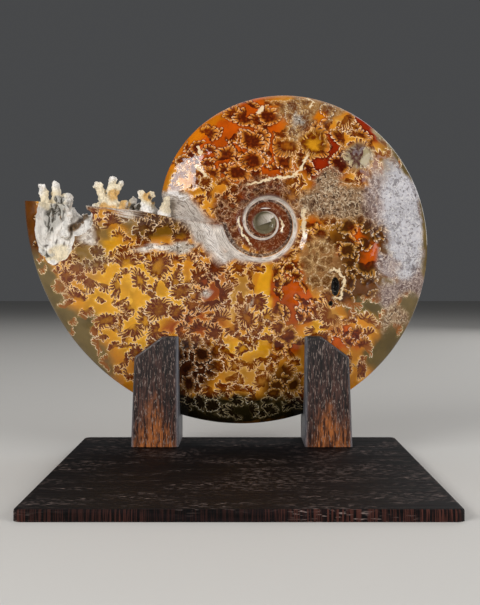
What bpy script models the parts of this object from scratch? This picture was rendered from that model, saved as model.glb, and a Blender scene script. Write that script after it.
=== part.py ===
"""A polished ammonite, broken at its large end, upright in two slotted posts on a thin wooden base."""

from math import cos, exp, pi, radians, sin

import bmesh
import bpy
from mathutils import Matrix, Vector

MM = 0.001
TURN = 2 * pi
GAP = 0.3 * MM

# The base board is centred on the origin, and its underside is at z = 0.
BASE_WIDTH = 120.0 * MM
BASE_DEPTH = 123.5 * MM
BASE_THICKNESS = 3.4 * MM
BASE_CORNER = 2.5 * MM
BASE_EDGE = 0.9 * MM

# Each post stands on the base's back edge, and its outline runs from its inner side outwards.
POST_SPACING = 45.7 * MM
POST_OFFSET = 0.7 * MM
POST_FOOT = 17.2 * MM
POST_FLARE = 1.2 * MM
POST_FLAT = 5.8 * MM
POST_HEIGHT = 40.0 * MM
POST_SHOULDER = 7.5 * MM
POST_DEPTH = 26.0 * MM
POST_EDGE = 0.7 * MM
SLOT_CLEARANCE = 0.45 * MM
SLOT_DEPTHS = (0.0, 0.6, 2.0, 4.5, 8.5, 14.0, 22.0, 32.0)
SLOT_REACH = 45.0 * MM

# The shell is a logarithmic spiral about its pole, in the plane of SHELL_Y.
# It grows clockwise, seen from the front, and turn 0 is its broken end.
SHELL_Y = BASE_DEPTH / 2 - POST_DEPTH / 2
POLE = Vector((10.0 * MM, SHELL_Y, 84.1 * MM))
END_RADIUS = 90.9 * MM
END_ANGLE = radians(174)
GROWTH = 0.1303
WHORL_RATIO = exp(GROWTH * TURN)
END_THICKNESS = 28.0 * MM
THICKNESS_POWER = 0.8

# The seam is the inner edge of a whorl. Over its last stretch it climbs to the rim of the whorl below.
SEAM_SHARE = 0.178
SEAM_CLIMB = radians(48)
INNERMOST = 1.8 * MM

# The umbilicus lies a little off the pole of the outer whorl.
UMBILICUS_SHIFT = Vector((-0.9 * MM, 0.0, 1.2 * MM))
UMBILICUS_NEAR = 9.0 * MM
UMBILICUS_FAR = 30.0 * MM

# A whorl's section: a steep wall at the seam, a gently convex flank, and a narrow rounded rim.
WALL_SHARE = 0.14
WALL_POWER = 2.2
FLANK_POWER = 1.9
RIM_POWER = 0.55

SHELL_STEPS = 60
SHELL_COLUMNS = 8
SHELL_ROWS = 156
WELD = 0.01 * MM
SHARP_EDGE = radians(35)
ROOT_STEPS = 40

# Hollows of the broken end: centre and half sizes along X, Y and Z, the centre measured from the pole.
HOLLOWS = {
    "flank_bowl": ((-78.9, -8.2, -1.6), (8.7, 8.2, 13.6)),
    "flank_break": ((-70.2, -8.8, 2.4), (7.0, 6.6, 6.6)),
    "rim_notch": ((-69.0, 0.0, 8.8), (5.6, 18.0, 5.0)),
    "septum_hollow": ((-57.0, 0.5, 9.0), (19.0, 7.0, 9.0)),
    "small_pit": ((24.3, -11.6, -23.8), (1.3, 2.2, 2.7)),
}

# Calcite knobs of the broken end: two ends measured from the pole, and the radius at each end.
KNOBS = (
    # The far wall's knobs behind the bowl
    ((-82.0, 1.5, 4.0), (-84.0, 0.8, 14.8), 1.9, 1.4),
    ((-78.6, 3.0, 3.0), (-79.4, 2.4, 16.0), 3.0, 1.3),
    ((-77.0, 4.5, 6.0), (-75.4, 4.0, 10.6), 3.2, 2.2),
    # The ridges at the bowl's right side
    ((-74.6, -3.5, -3.0), (-73.2, -3.0, 4.4), 1.9, 1.1),
    ((-64.0, -7.5, -2.5), (-66.4, -7.0, 3.0), 2.2, 1.3),
    # The forked knob, with its trunk
    ((-57.2, -6.0, 0.5), (-57.6, -6.0, 7.0), 4.4, 3.6),
    ((-59.6, -6.0, 7.0), (-62.0, -6.0, 15.0), 1.7, 1.2),
    ((-61.9, -6.0, 14.8), (-63.1, -6.0, 14.4), 1.1, 0.8),
    ((-57.2, -5.5, 8.0), (-57.0, -5.5, 17.0), 2.3, 1.3),
    ((-56.6, -5.0, 11.4), (-53.8, -5.0, 15.4), 1.4, 1.0),
    ((-59.5, -6.5, 4.0), (-62.2, -6.8, 7.0), 2.2, 1.4),
    ((-54.6, -7.0, 3.0), (-52.4, -7.0, 7.6), 2.2, 1.5),
    # The low saddle and the double knob
    ((-48.6, -2.5, 3.0), (-47.6, -2.0, 6.4), 2.8, 2.2),
    ((-44.2, -6.4, 1.0), (-44.4, -6.4, 9.4), 2.6, 1.7),
    ((-44.4, -6.4, 9.0), (-46.3, -6.4, 11.9), 1.6, 1.3),
    ((-44.4, -6.4, 9.0), (-42.6, -6.4, 11.2), 1.6, 1.4),
    ((-38.4, -5.5, 2.0), (-36.9, -5.5, 9.2), 2.6, 1.4),
    # The far flank's knobs and the walls that cross between the flanks
    ((-52.0, 6.5, 3.0), (-50.4, 6.5, 10.8), 3.0, 1.1),
    ((-61.5, 7.0, 2.0), (-60.4, 7.0, 8.4), 3.4, 1.7),
    ((-43.0, 7.5, 2.0), (-44.0, 7.5, 8.6), 2.8, 1.6),
    ((-52.0, -8.0, 0.0), (-51.0, 8.0, 1.4), 2.6, 2.6),
    ((-63.0, -6.0, -2.0), (-62.0, 7.0, 0.0), 2.4, 2.6),
)
KNOB_SIDES = 10
KNOB_GRAIN = 0.9 * MM
KNOB_THINNING = 0.35


def smooth(value, low, high):
    """Rises smoothly from 0 at low to 1 at high."""
    share = min(max((value - low) / (high - low), 0.0), 1.0)
    return share * share * (3 - 2 * share)


def rim_radius(turn):
    """The radius of the shell's rim at an angle of growth, which is negative before the broken end."""
    return END_RADIUS * exp(GROWTH * turn)


def seam_radius(turn):
    """The radius of the whorl's inner seam, which climbs near the broken end."""
    climb = max(0.0, (turn + SEAM_CLIMB) / SEAM_CLIMB) ** 3
    return (SEAM_SHARE + (1 / WHORL_RATIO - SEAM_SHARE) * climb) * rim_radius(turn)


def shown_share(turn):
    """How far across its flank a whorl shows before the next whorl covers it."""
    if turn >= -TURN:
        return 1.0
    width = rim_radius(turn) - seam_radius(turn)
    return min(1.0, (seam_radius(turn + TURN) - seam_radius(turn)) / width)


def half_thickness(turn, share):
    """Half of the whorl's thickness, from share 0 at its seam to share 1 at its rim."""
    radius = rim_radius(turn)
    widest = END_THICKNESS / 2 * (radius / END_RADIUS) ** THICKNESS_POWER
    flank = widest * max(0.0, 1 - share**FLANK_POWER) ** RIM_POWER
    if share >= WALL_SHARE:
        return flank
    if radius < INNERMOST:
        seam = widest / 2
    else:
        seam = half_thickness(turn - TURN, shown_share(turn - TURN))
    return seam + (flank - seam) * (1 - (1 - share / WALL_SHARE) ** WALL_POWER)


def shell_point(turn, share):
    """A point on the front flank, measured from the pole."""
    inner = seam_radius(turn)
    radius = inner + (rim_radius(turn) - inner) * share
    angle = END_ANGLE - turn
    shift = UMBILICUS_SHIFT * (1 - smooth(radius, UMBILICUS_NEAR, UMBILICUS_FAR))
    return Vector((radius * cos(angle), -half_thickness(turn, share), radius * sin(angle))) + shift


def material(name, colour, roughness):
    """A plain Principled material."""
    made = bpy.data.materials.new(name)
    made.use_nodes = True
    shader = made.node_tree.nodes["Principled BSDF"]
    shader.inputs["Base Color"].default_value = (*colour, 1.0)
    shader.inputs["Roughness"].default_value = roughness
    shader.inputs["Metallic"].default_value = 0.0
    return made


def new_object(name, bm, finish, location=(0.0, 0.0, 0.0)):
    """An object made of a bmesh."""
    bmesh.ops.recalc_face_normals(bm, faces=bm.faces)
    mesh = bpy.data.meshes.new(name)
    bm.to_mesh(mesh)
    bm.free()
    mesh.shade_smooth()
    mesh.set_sharp_from_angle(angle=SHARP_EDGE)
    mesh.materials.append(finish)
    made = bpy.data.objects.new(name, mesh)
    made.location = location
    bpy.context.scene.collection.objects.link(made)
    return made


def join(target, tool, operation):
    """Cuts a tool object out of the target, or joins it on, and hides the tool."""
    tool.hide_render = True
    tool.display_type = "WIRE"
    change = target.modifiers.new(tool.name, "BOOLEAN")
    change.operation = operation
    change.solver = "EXACT"
    change.object = tool


def extruded(outline, depth):
    """A bmesh of an outline in the XZ plane, extruded along +Y."""
    bm = bmesh.new()
    face = bm.faces.new([bm.verts.new((x, 0.0, z)) for x, z in outline])
    moved = bmesh.ops.extrude_face_region(bm, geom=[face])["geom"]
    corners = [item for item in moved if isinstance(item, bmesh.types.BMVert)]
    bmesh.ops.translate(bm, verts=corners, vec=(0.0, depth, 0.0))
    return bm


def ammonite_shell(finish):
    """The whole coil: one flank as a grid wrapped round the spiral, mirrored and closed."""
    bm = bmesh.new()
    bmesh.ops.create_grid(bm, x_segments=SHELL_ROWS, y_segments=SHELL_COLUMNS, size=1.0)
    for corner in bm.verts:
        turn = -(1 - corner.co.x) / 2 * SHELL_ROWS * TURN / SHELL_STEPS
        across = (1 - cos(pi * (corner.co.y + 1) / 2)) / 2
        corner.co = shell_point(turn, across * shown_share(turn))
    bmesh.ops.remove_doubles(bm, verts=bm.verts, dist=WELD)
    flank = bm.verts[:] + bm.edges[:] + bm.faces[:]
    bmesh.ops.mirror(bm, geom=flank, matrix=Matrix(), merge_dist=WELD, axis="Y")
    bmesh.ops.remove_doubles(bm, verts=bm.verts, dist=WELD)
    bmesh.ops.holes_fill(bm, edges=bm.edges, sides=0)
    return new_object("ammonite", bm, finish, POLE)


def broken_end(shell, finish):
    """Cuts the hollows of the broken end, and joins on its calcite knobs."""
    for name, (centre, half_sizes) in HOLLOWS.items():
        bm = bmesh.new()
        stretched = Matrix.Diagonal((*half_sizes, 1.0))
        place = Matrix.Scale(MM, 4) @ Matrix.Translation(centre) @ stretched
        bmesh.ops.create_icosphere(bm, subdivisions=3, radius=1.0, matrix=place)
        join(shell, new_object(name, bm, finish, POLE), "DIFFERENCE")
    bm = bmesh.new()
    for low, high, low_radius, high_radius in KNOBS:
        low, high = Vector(low) * MM, Vector(high) * MM
        along = high - low
        turned = along.to_track_quat("Z", "Y").to_matrix().to_4x4()
        bmesh.ops.create_cone(
            bm,
            cap_ends=True,
            segments=KNOB_SIDES,
            radius1=low_radius * MM,
            radius2=high_radius * MM,
            depth=along.length,
            matrix=Matrix.Translation((low + high) / 2) @ turned,
        )
        for end, radius in ((low, low_radius), (high, high_radius)):
            place = Matrix.Translation(end)
            bmesh.ops.create_icosphere(bm, subdivisions=2, radius=radius * MM, matrix=place)
    knobs = new_object("calcite_knobs", bm, finish, POLE)
    fused = knobs.modifiers.new("fused", "REMESH")
    fused.mode = "VOXEL"
    fused.voxel_size = KNOB_GRAIN
    thinned = knobs.modifiers.new("thinned", "DECIMATE")
    thinned.ratio = KNOB_THINNING
    join(shell, knobs, "UNION")


def base_plate(finish):
    """The thin board, with rounded corners and softened edges."""
    bm = bmesh.new()
    size = Matrix.Diagonal((BASE_WIDTH, BASE_DEPTH, BASE_THICKNESS, 1.0))
    middle = Matrix.Translation((0.0, 0.0, BASE_THICKNESS / 2))
    bmesh.ops.create_cube(bm, size=1.0, matrix=middle @ size)
    upright = [e for e in bm.edges if abs(e.verts[0].co.z - e.verts[1].co.z) > BASE_THICKNESS / 2]
    bmesh.ops.bevel(
        bm, geom=upright, offset=BASE_CORNER, segments=4, profile=0.5, affect="EDGES", material=-1
    )
    top = [e for e in bm.edges if min(v.co.z for v in e.verts) > BASE_THICKNESS / 2]
    bmesh.ops.bevel(
        bm, geom=top, offset=BASE_EDGE, segments=3, profile=0.5, affect="EDGES", material=-1
    )
    return new_object("base_plate", bm, finish)


def slot_cutter(name, post_x, finish):
    """A trough along the shell's rim where it crosses a post, wide enough for the whorl's section."""
    turn = -pi / 2
    for _ in range(ROOT_STEPS):
        radius = rim_radius(turn)
        angle = END_ANGLE - turn
        turn += (post_x - POLE.x - radius * cos(angle)) / (radius * sin(angle))
    rim = POLE + Vector((cos(angle), 0.0, sin(angle))) * radius
    along = Vector((sin(angle) + GROWTH * cos(angle), 0.0, GROWTH * sin(angle) - cos(angle)))
    along.normalize()
    inward = Vector((along.z, 0.0, -along.x))
    if inward.dot(POLE - rim) < 0:
        inward = -inward
    width = radius - seam_radius(turn)
    side = []
    for depth in SLOT_DEPTHS:
        share = 1 - depth * MM / width
        side.append((half_thickness(turn, share) + SLOT_CLEARANCE, depth * MM - GAP))
    side.append((side[-1][0], SLOT_REACH))
    outline = [(-across, up) for across, up in reversed(side)] + side
    bm = extruded(outline, 2 * POST_FOOT)
    bmesh.ops.translate(bm, verts=bm.verts, vec=(0.0, -POST_FOOT, 0.0))
    turned = Matrix((Vector((0.0, 1.0, 0.0)), along, inward)).transposed().to_4x4()
    bmesh.ops.transform(bm, matrix=turned, verts=bm.verts)
    return new_object(name, bm, finish, rim)


def upright(name, side, finish):
    """A post with its feet on the base and a slot that cradles the shell's rim."""
    outline = [
        (0.0, 0.0),
        (POST_FOOT, 0.0),
        (POST_FOOT - POST_FLARE, POST_HEIGHT - POST_SHOULDER),
        (POST_FLAT, POST_HEIGHT),
        (0.0, POST_HEIGHT),
    ]
    bm = extruded([(side * x, z) for x, z in outline], POST_DEPTH)
    worn = [e for e in bm.edges if max(v.co.z for v in e.verts) > 0.0]
    bmesh.ops.bevel(
        bm, geom=worn, offset=POST_EDGE, segments=2, profile=0.5, affect="EDGES", material=-1
    )
    inner = POST_OFFSET + side * POST_SPACING / 2
    place = (inner, SHELL_Y - POST_DEPTH / 2, BASE_THICKNESS + GAP)
    post = new_object(name, bm, finish, place)
    slot = slot_cutter(f"{name}_slot", inner + side * POST_FOOT / 2, finish)
    join(post, slot, "DIFFERENCE")
    return post


for old in list(bpy.data.objects):
    bpy.data.objects.remove(old)
polished_calcite = material("polished_calcite", (0.62, 0.25, 0.06), 0.12)
dark_rosewood = material("dark_rosewood", (0.055, 0.030, 0.024), 0.45)
rosewood = material("rosewood", (0.13, 0.055, 0.028), 0.45)
ammonite = ammonite_shell(polished_calcite)
broken_end(ammonite, polished_calcite)
base_plate(dark_rosewood)
upright("left_upright", -1, rosewood)
upright("right_upright", 1, rosewood)
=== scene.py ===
"""A polished ammonite upright in two slotted wooden posts: each surface's finish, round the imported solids."""

import random
from math import cos, exp, pi, radians, sin

import bmesh
import bpy
import numpy as np
from mathutils import Matrix, Vector, noise


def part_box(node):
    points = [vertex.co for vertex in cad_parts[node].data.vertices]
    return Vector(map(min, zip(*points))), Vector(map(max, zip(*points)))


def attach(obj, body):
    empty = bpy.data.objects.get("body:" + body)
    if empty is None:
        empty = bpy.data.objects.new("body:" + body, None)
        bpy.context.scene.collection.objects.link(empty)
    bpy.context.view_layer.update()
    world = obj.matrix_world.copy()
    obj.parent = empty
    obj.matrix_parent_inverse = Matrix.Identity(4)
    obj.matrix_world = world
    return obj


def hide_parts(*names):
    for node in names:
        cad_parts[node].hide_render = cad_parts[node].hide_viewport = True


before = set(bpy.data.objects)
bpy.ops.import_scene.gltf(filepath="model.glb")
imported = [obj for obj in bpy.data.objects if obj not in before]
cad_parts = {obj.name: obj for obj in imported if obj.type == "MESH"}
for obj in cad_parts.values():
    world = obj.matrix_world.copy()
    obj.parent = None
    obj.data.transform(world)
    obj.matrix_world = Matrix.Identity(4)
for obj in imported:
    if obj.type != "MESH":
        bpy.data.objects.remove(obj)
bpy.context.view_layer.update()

# Base board
# A thin board of very dark rosewood, sawn along X, planed and waxed, with eased edges.
# Its pores show as short pale strokes, and its front edge shows the reddish end of the growth rings.
MM = 0.001


def tint(red, green, blue):
    """A colour as an eye reads it, 0 to 255, turned into the linear values that a shader takes."""
    linear = []
    for value in (red, green, blue):
        share = value / 255
        linear.append(share / 12.92 if share <= 0.04045 else ((share + 0.055) / 1.055) ** 2.4)
    return (*linear, 1.0)


def new_material(name, roughness):
    """A material, its node tree and its shader."""
    made = bpy.data.materials.new(name)
    made.use_nodes = True
    shader = made.node_tree.nodes["Principled BSDF"]
    shader.inputs["Roughness"].default_value = roughness
    return made, made.node_tree, shader


def feed(tree, socket, value):
    """Puts a number, a colour or another node's output into a socket."""
    if hasattr(value, "links"):
        tree.links.new(value, socket)
    else:
        socket.default_value = value


def maths(tree, operation, *values, clamp=False):
    """A Math node's result."""
    node = tree.nodes.new("ShaderNodeMath")
    node.operation = operation
    node.use_clamp = clamp
    for socket, value in zip(node.inputs, values):
        feed(tree, socket, value)
    return node.outputs[0]


def vectors(tree, operation, *values):
    """A Vector Math node's vector."""
    node = tree.nodes.new("ShaderNodeVectorMath")
    node.operation = operation
    for socket, value in zip(node.inputs, values):
        feed(tree, socket, value)
    return node.outputs["Vector"]


def blend(tree, share, low, high):
    """One colour laid over another by a share."""
    node = tree.nodes.new("ShaderNodeMix")
    node.data_type = "RGBA"
    feed(tree, node.inputs[0], share)
    feed(tree, node.inputs[6], low)
    feed(tree, node.inputs[7], high)
    return node.outputs[2]


def span(tree, value, low, high, start=0.0, end=1.0):
    """A value carried smoothly from the range low to high into the range start to end."""
    node = tree.nodes.new("ShaderNodeMapRange")
    node.interpolation_type = "SMOOTHSTEP"
    for socket, item in zip(node.inputs, (value, low, high, start, end)):
        feed(tree, socket, item)
    return node.outputs[0]


def grain(tree, where, scale, detail=3.0, roughness=0.55, distortion=0.0):
    """A Noise Texture's value and colour."""
    node = tree.nodes.new("ShaderNodeTexNoise")
    feed(tree, node.inputs["Vector"], where)
    node.inputs["Scale"].default_value = scale
    node.inputs["Detail"].default_value = detail
    node.inputs["Roughness"].default_value = roughness
    node.inputs["Distortion"].default_value = distortion
    return node.outputs["Fac"], node.outputs["Color"]


def stretched(tree, scale, turn=(0.0, 0.0, 0.0)):
    """Object coordinates, turned and scaled along each axis."""
    source = tree.nodes.new("ShaderNodeTexCoord").outputs["Object"]
    node = tree.nodes.new("ShaderNodeMapping")
    feed(tree, node.inputs["Vector"], source)
    node.inputs["Rotation"].default_value = turn
    node.inputs["Scale"].default_value = scale
    return node.outputs["Vector"]


def relief(tree, shader, height, depth):
    """Feeds a height into the shader's normal as a bump of that depth in metres."""
    node = tree.nodes.new("ShaderNodeBump")
    node.inputs["Strength"].default_value = 1.0
    node.inputs["Distance"].default_value = depth
    feed(tree, node.inputs["Height"], height)
    tree.links.new(node.outputs["Normal"], shader.inputs["Normal"])


def axes(tree):
    """A point's place along X, Y and Z, in metres."""
    node = tree.nodes.new("ShaderNodeSeparateXYZ")
    tree.links.new(tree.nodes.new("ShaderNodeTexCoord").outputs["Object"], node.inputs[0])
    return node.outputs


BOARD_LOW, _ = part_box("base_plate")
EDGE_DEPTH = 0.4 * MM
BOARD_GRAIN_DEPTH = 0.05 * MM
BOARD_SPECULAR = 0.1
PORE_SINK = 0.4
BOARD_BLACK = tint(4, 3, 3)
BOARD_BROWN = tint(17, 10, 11)
BOARD_DUST = tint(122, 106, 100)
END_RED = tint(74, 41, 34)
# How many of each mark come in a metre, along X, Y and Z.
BOARD_STREAKS = (50.0, 700.0, 900.0)
BOARD_PORES = (380.0, 2000.0, 3000.0)
BOARD_CLOUDS = (40.0, 120.0, 120.0)
END_TICKS = (2400.0, 20.0, 90.0)
END_FLUSHES = (22.0, 20.0, 20.0)

wood, tree, shader = new_material("dark_rosewood_board", 0.42)
shader.inputs["Specular IOR Level"].default_value = BOARD_SPECULAR
streak, _ = grain(tree, stretched(tree, BOARD_STREAKS), 1.0, 5.0)
pore, _ = grain(tree, stretched(tree, BOARD_PORES), 1.0, 1.0)
cloud, _ = grain(tree, stretched(tree, BOARD_CLOUDS), 1.0, 2.0)
pores = maths(tree, "MULTIPLY", span(tree, pore, 0.59, 0.67), span(tree, cloud, 0.42, 0.66))
body = blend(tree, span(tree, streak, 0.38, 0.68), BOARD_BLACK, BOARD_BROWN)
body = blend(tree, pores, body, BOARD_DUST)
tick, _ = grain(tree, stretched(tree, END_TICKS), 1.0, 3.0)
flush, _ = grain(tree, stretched(tree, END_FLUSHES), 1.0, 1.0)
reddened = maths(tree, "MULTIPLY", span(tree, tick, 0.45, 0.62), span(tree, flush, 0.4, 0.6, 0.25, 1.0))
at_edge = span(tree, axes(tree)[1], BOARD_LOW.y + EDGE_DEPTH, BOARD_LOW.y + 2 * EDGE_DEPTH, 1.0, 0.0)
body = blend(tree, maths(tree, "MULTIPLY", reddened, at_edge), body, END_RED)
feed(tree, shader.inputs["Base Color"], body)
feed(tree, shader.inputs["Roughness"], span(tree, streak, 0.3, 0.7, 0.5, 0.65))
height = maths(tree, "SUBTRACT", streak, maths(tree, "MULTIPLY", pores, PORE_SINK))
relief(tree, shader, height, BOARD_GRAIN_DEPTH)
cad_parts["base_plate"].material_slots[0].material = wood

# Uprights
# Two posts of the same rosewood, sawn with the grain upright, cut to a slot that cradles the shell, and
# stood on the board's back edge. A brown glow rises like a flame from the foot up the middle of each. The
# tops are nearly black, and a blue-grey painted highlight lies along their side edges, where they round off.
LEFT_LOW, LEFT_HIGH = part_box("left_upright")
RIGHT_LOW, RIGHT_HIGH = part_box("right_upright")
# How far in from the side edges the blue-grey painted highlight reaches.
EDGE_SHEEN_REACH = 1.5 * MM
FLAME_LEAN = 1.6
FLAME_SWAY = 26.0 * MM
EMBER_LOW, EMBER_HIGH = -4.0 * MM, 12.0 * MM
BROWN_LOW, BROWN_HIGH = 0.0 * MM, 46.0 * MM
POST_GRAIN_DEPTH = 0.06 * MM
POST_STREAKS = (2000.0, 2000.0, 260.0)
POST_PORES = (3200.0, 3200.0, 650.0)
POST_FLAMES = (260.0, 260.0, 60.0)
# The dark and the light of the grain: at the top, in the brown, and in the glow at the foot.
TOP_GRAIN = (tint(8, 7, 8), tint(40, 34, 35))
BROWN_GRAIN = (tint(20, 9, 7), tint(82, 47, 34))
EMBER_GRAIN = (tint(52, 22, 9), tint(166, 94, 38))
POST_DUST = tint(150, 132, 122)
EDGE_SHEEN_GREY = tint(96, 98, 104)

post_wood, tree, shader = new_material("rosewood_posts", 0.45)
across, _, up = axes(tree)
edge = 1.0
for side in (LEFT_LOW.x, LEFT_HIGH.x, RIGHT_LOW.x, RIGHT_HIGH.x):
    edge = maths(tree, "MINIMUM", edge, maths(tree, "ABSOLUTE", maths(tree, "SUBTRACT", across, side)))
streak, _ = grain(tree, stretched(tree, POST_STREAKS), 1.0, 4.0)
pore, _ = grain(tree, stretched(tree, POST_PORES), 1.0, 1.0)
flame, _ = grain(tree, stretched(tree, POST_FLAMES), 1.0, 4.0)
sway = maths(tree, "MULTIPLY", maths(tree, "SUBTRACT", flame, 0.5), FLAME_SWAY)
flare = maths(tree, "ADD", maths(tree, "MULTIPLY_ADD", edge, -FLAME_LEAN, up), sway)
brownish = span(tree, flare, BROWN_LOW, BROWN_HIGH, 1.0, 0.05)
glow = span(tree, flare, EMBER_LOW, EMBER_HIGH, 1.0, 0.0)
grained = span(tree, streak, 0.36, 0.66)
body = blend(tree, grained, *TOP_GRAIN)
body = blend(tree, brownish, body, blend(tree, grained, *BROWN_GRAIN))
body = blend(tree, glow, body, blend(tree, grained, *EMBER_GRAIN))
body = blend(tree, span(tree, pore, 0.6, 0.68, 0.0, 0.6), body, POST_DUST)
# A painted highlight: blue-grey along the posts' side edges, broken by the grain.
by_edge = span(tree, edge, 0.0, EDGE_SHEEN_REACH, 0.9, 0.0)
edge_sheen = maths(tree, "MULTIPLY", by_edge, span(tree, streak, 0.3, 0.6, 0.4, 1.0))
feed(tree, shader.inputs["Base Color"], blend(tree, edge_sheen, body, EDGE_SHEEN_GREY))
feed(tree, shader.inputs["Roughness"], span(tree, streak, 0.3, 0.7, 0.38, 0.55))
height = maths(tree, "SUBTRACT", streak, maths(tree, "MULTIPLY", pore, PORE_SINK))
relief(tree, shader, height, POST_GRAIN_DEPTH)
for side in ("left", "right"):
    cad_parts[f"{side}_upright"].material_slots[0].material = post_wood

# Ammonite
# One fossil, sawn from the rock and polished: a chambered coil filled with calcite, whose flanks are a
# logarithmic spiral about a pole in the middle of its thickness. Its large end is broken off.
TURN = 2 * pi
POLE_HEIGHT = 84.1 * MM
POLE = Vector((10.0 * MM, (LEFT_LOW.y + LEFT_HIGH.y) / 2, POLE_HEIGHT))
END_RADIUS = 90.9 * MM
END_ANGLE = radians(174)
GROWTH = 0.1303
WHORL_RATIO = exp(GROWTH * TURN)
END_THICKNESS = 28.0 * MM
THICKNESS_POWER = 0.8
SEAM_SHARE = 0.178
SEAM_CLIMB = radians(7)
INNERMOST = 1.8 * MM
UMBILICUS_SHIFT = Vector((-0.9 * MM, 0.0, 1.2 * MM))
UMBILICUS_NEAR = 9.0 * MM
UMBILICUS_FAR = 30.0 * MM
WALL_SHARE = 0.14
WALL_POWER = 2.2
FLANK_POWER = 1.9
RIM_POWER = 0.55
SHELL_TURNS = 2.6
SHELL_ROWS = 760
SHELL_COLUMNS = 36
ROW_CROWDING = 0.25
WELD = 0.003 * MM
POLISH_SPECULAR = 0.36


def smooth(value, low, high):
    """Rises smoothly from 0 at low to 1 at high."""
    share = min(max((value - low) / (high - low), 0.0), 1.0)
    return share * share * (3 - 2 * share)


def rim_radius(turn):
    """The radius of the shell's rim at an angle of growth, which is negative before the broken end."""
    return END_RADIUS * exp(GROWTH * turn)


def seam_radius(turn):
    """The radius of the whorl's inner seam, which climbs near the broken end."""
    climb = max(0.0, (turn + SEAM_CLIMB) / SEAM_CLIMB) ** 2
    return (SEAM_SHARE + (1 / WHORL_RATIO - SEAM_SHARE) * climb) * rim_radius(turn)


def shown_share(turn):
    """How far across its flank a whorl shows before the next whorl covers it."""
    if turn >= -TURN:
        return 1.0
    width = rim_radius(turn) - seam_radius(turn)
    return min(1.0, (seam_radius(turn + TURN) - seam_radius(turn)) / width)


def half_thickness(turn, share):
    """Half of the whorl's thickness, from share 0 at its seam to share 1 at its rim."""
    radius = rim_radius(turn)
    widest = END_THICKNESS / 2 * (radius / END_RADIUS) ** THICKNESS_POWER
    flank = widest * max(0.0, 1 - share**FLANK_POWER) ** RIM_POWER
    if share >= WALL_SHARE:
        return flank
    if radius < INNERMOST:
        seam = widest / 2
    else:
        seam = half_thickness(turn - TURN, shown_share(turn - TURN))
    return seam + (flank - seam) * (1 - (1 - share / WALL_SHARE) ** WALL_POWER)


def shell_point(turn, share):
    """A point on the front flank, measured from the pole."""
    inner = seam_radius(turn)
    radius = inner + (rim_radius(turn) - inner) * share
    angle = END_ANGLE - turn
    shift = UMBILICUS_SHIFT * (1 - smooth(radius, UMBILICUS_NEAR, UMBILICUS_FAR))
    return Vector((radius * cos(angle), -half_thickness(turn, share), radius * sin(angle))) + shift


def new_object(name, bm, *finishes):
    """An object made of a bmesh whose vertices are measured from the pole."""
    bmesh.ops.recalc_face_normals(bm, faces=bm.faces)
    mesh = bpy.data.meshes.new(name)
    bm.to_mesh(mesh)
    bm.free()
    for finish in finishes:
        mesh.materials.append(finish)
    made = bpy.data.objects.new(name, mesh)
    bpy.context.scene.collection.objects.link(made)
    return made


def applied(made):
    """Replaces an object's mesh by what its modifiers make of it, and takes the modifiers away."""
    bpy.context.view_layer.update()
    shaped = made.evaluated_get(bpy.context.evaluated_depsgraph_get())
    mesh = bpy.data.meshes.new_from_object(shaped)
    made.modifiers.clear()
    made.data = mesh


def cut_or_join(target, tool, operation):
    """Cuts a tool out of the target or joins it on, and keeps each face's own finish."""
    change = target.modifiers.new(tool.name, "BOOLEAN")
    change.operation = operation
    change.solver = "EXACT"
    change.material_mode = "TRANSFER"
    change.object = tool
    applied(target)
    bpy.data.objects.remove(tool)


polished, flank_tree, flank_shader = new_material("polished_calcite", 0.07)
flank_shader.inputs["Specular IOR Level"].default_value = POLISH_SPECULAR
chalk, chalk_tree, chalk_shader = new_material("chalky_calcite", 0.7)

bm = bmesh.new()
bmesh.ops.create_grid(bm, x_segments=SHELL_ROWS, y_segments=SHELL_COLUMNS, size=1.0)
for corner in bm.verts:
    back = (1 - corner.co.x) / 2
    turn = -SHELL_TURNS * TURN * back * (1 - ROW_CROWDING * (1 - back))
    across = (1 - cos(pi * (corner.co.y + 1) / 2)) / 2
    corner.co = shell_point(turn, across * shown_share(turn))
bmesh.ops.remove_doubles(bm, verts=bm.verts, dist=WELD)
flank = bm.verts[:] + bm.edges[:] + bm.faces[:]
bmesh.ops.mirror(bm, geom=flank, matrix=Matrix(), merge_dist=WELD, axis="Y")
bmesh.ops.remove_doubles(bm, verts=bm.verts, dist=WELD)
for cap in bmesh.ops.holes_fill(bm, edges=bm.edges, sides=0)["faces"]:
    if cap.calc_center_median().length > UMBILICUS_NEAR:
        cap.material_index = 1
ammonite = new_object("polished_ammonite", bm, polished, chalk)

# Broken end
# The large end broke through its chambers. A chalky bowl is left in the near flank, and the chamber walls
# between the two flanks stand up as rounded, coral-like knobs of calcite.
# Each hollow's middle from the pole, and its half sizes, in millimetres.
HOLLOWS = {
    "flank_bowl": ((-78.9, -8.2, -1.6), (8.7, 8.2, 13.6)),
    "flank_break": ((-70.2, -8.8, 2.4), (7.0, 6.6, 6.6)),
    "rim_notch": ((-69.0, 0.0, 8.8), (5.6, 18.0, 5.0)),
    "septum_hollow": ((-57.0, 0.5, 9.0), (19.0, 7.0, 9.0)),
    "small_pit": ((24.8, -9.6, -22.4), (1.5, 2.4, 3.4)),
    "tiny_pit": ((23.1, -9.4, -28.6), (0.9, 1.4, 1.0)),
}
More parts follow.
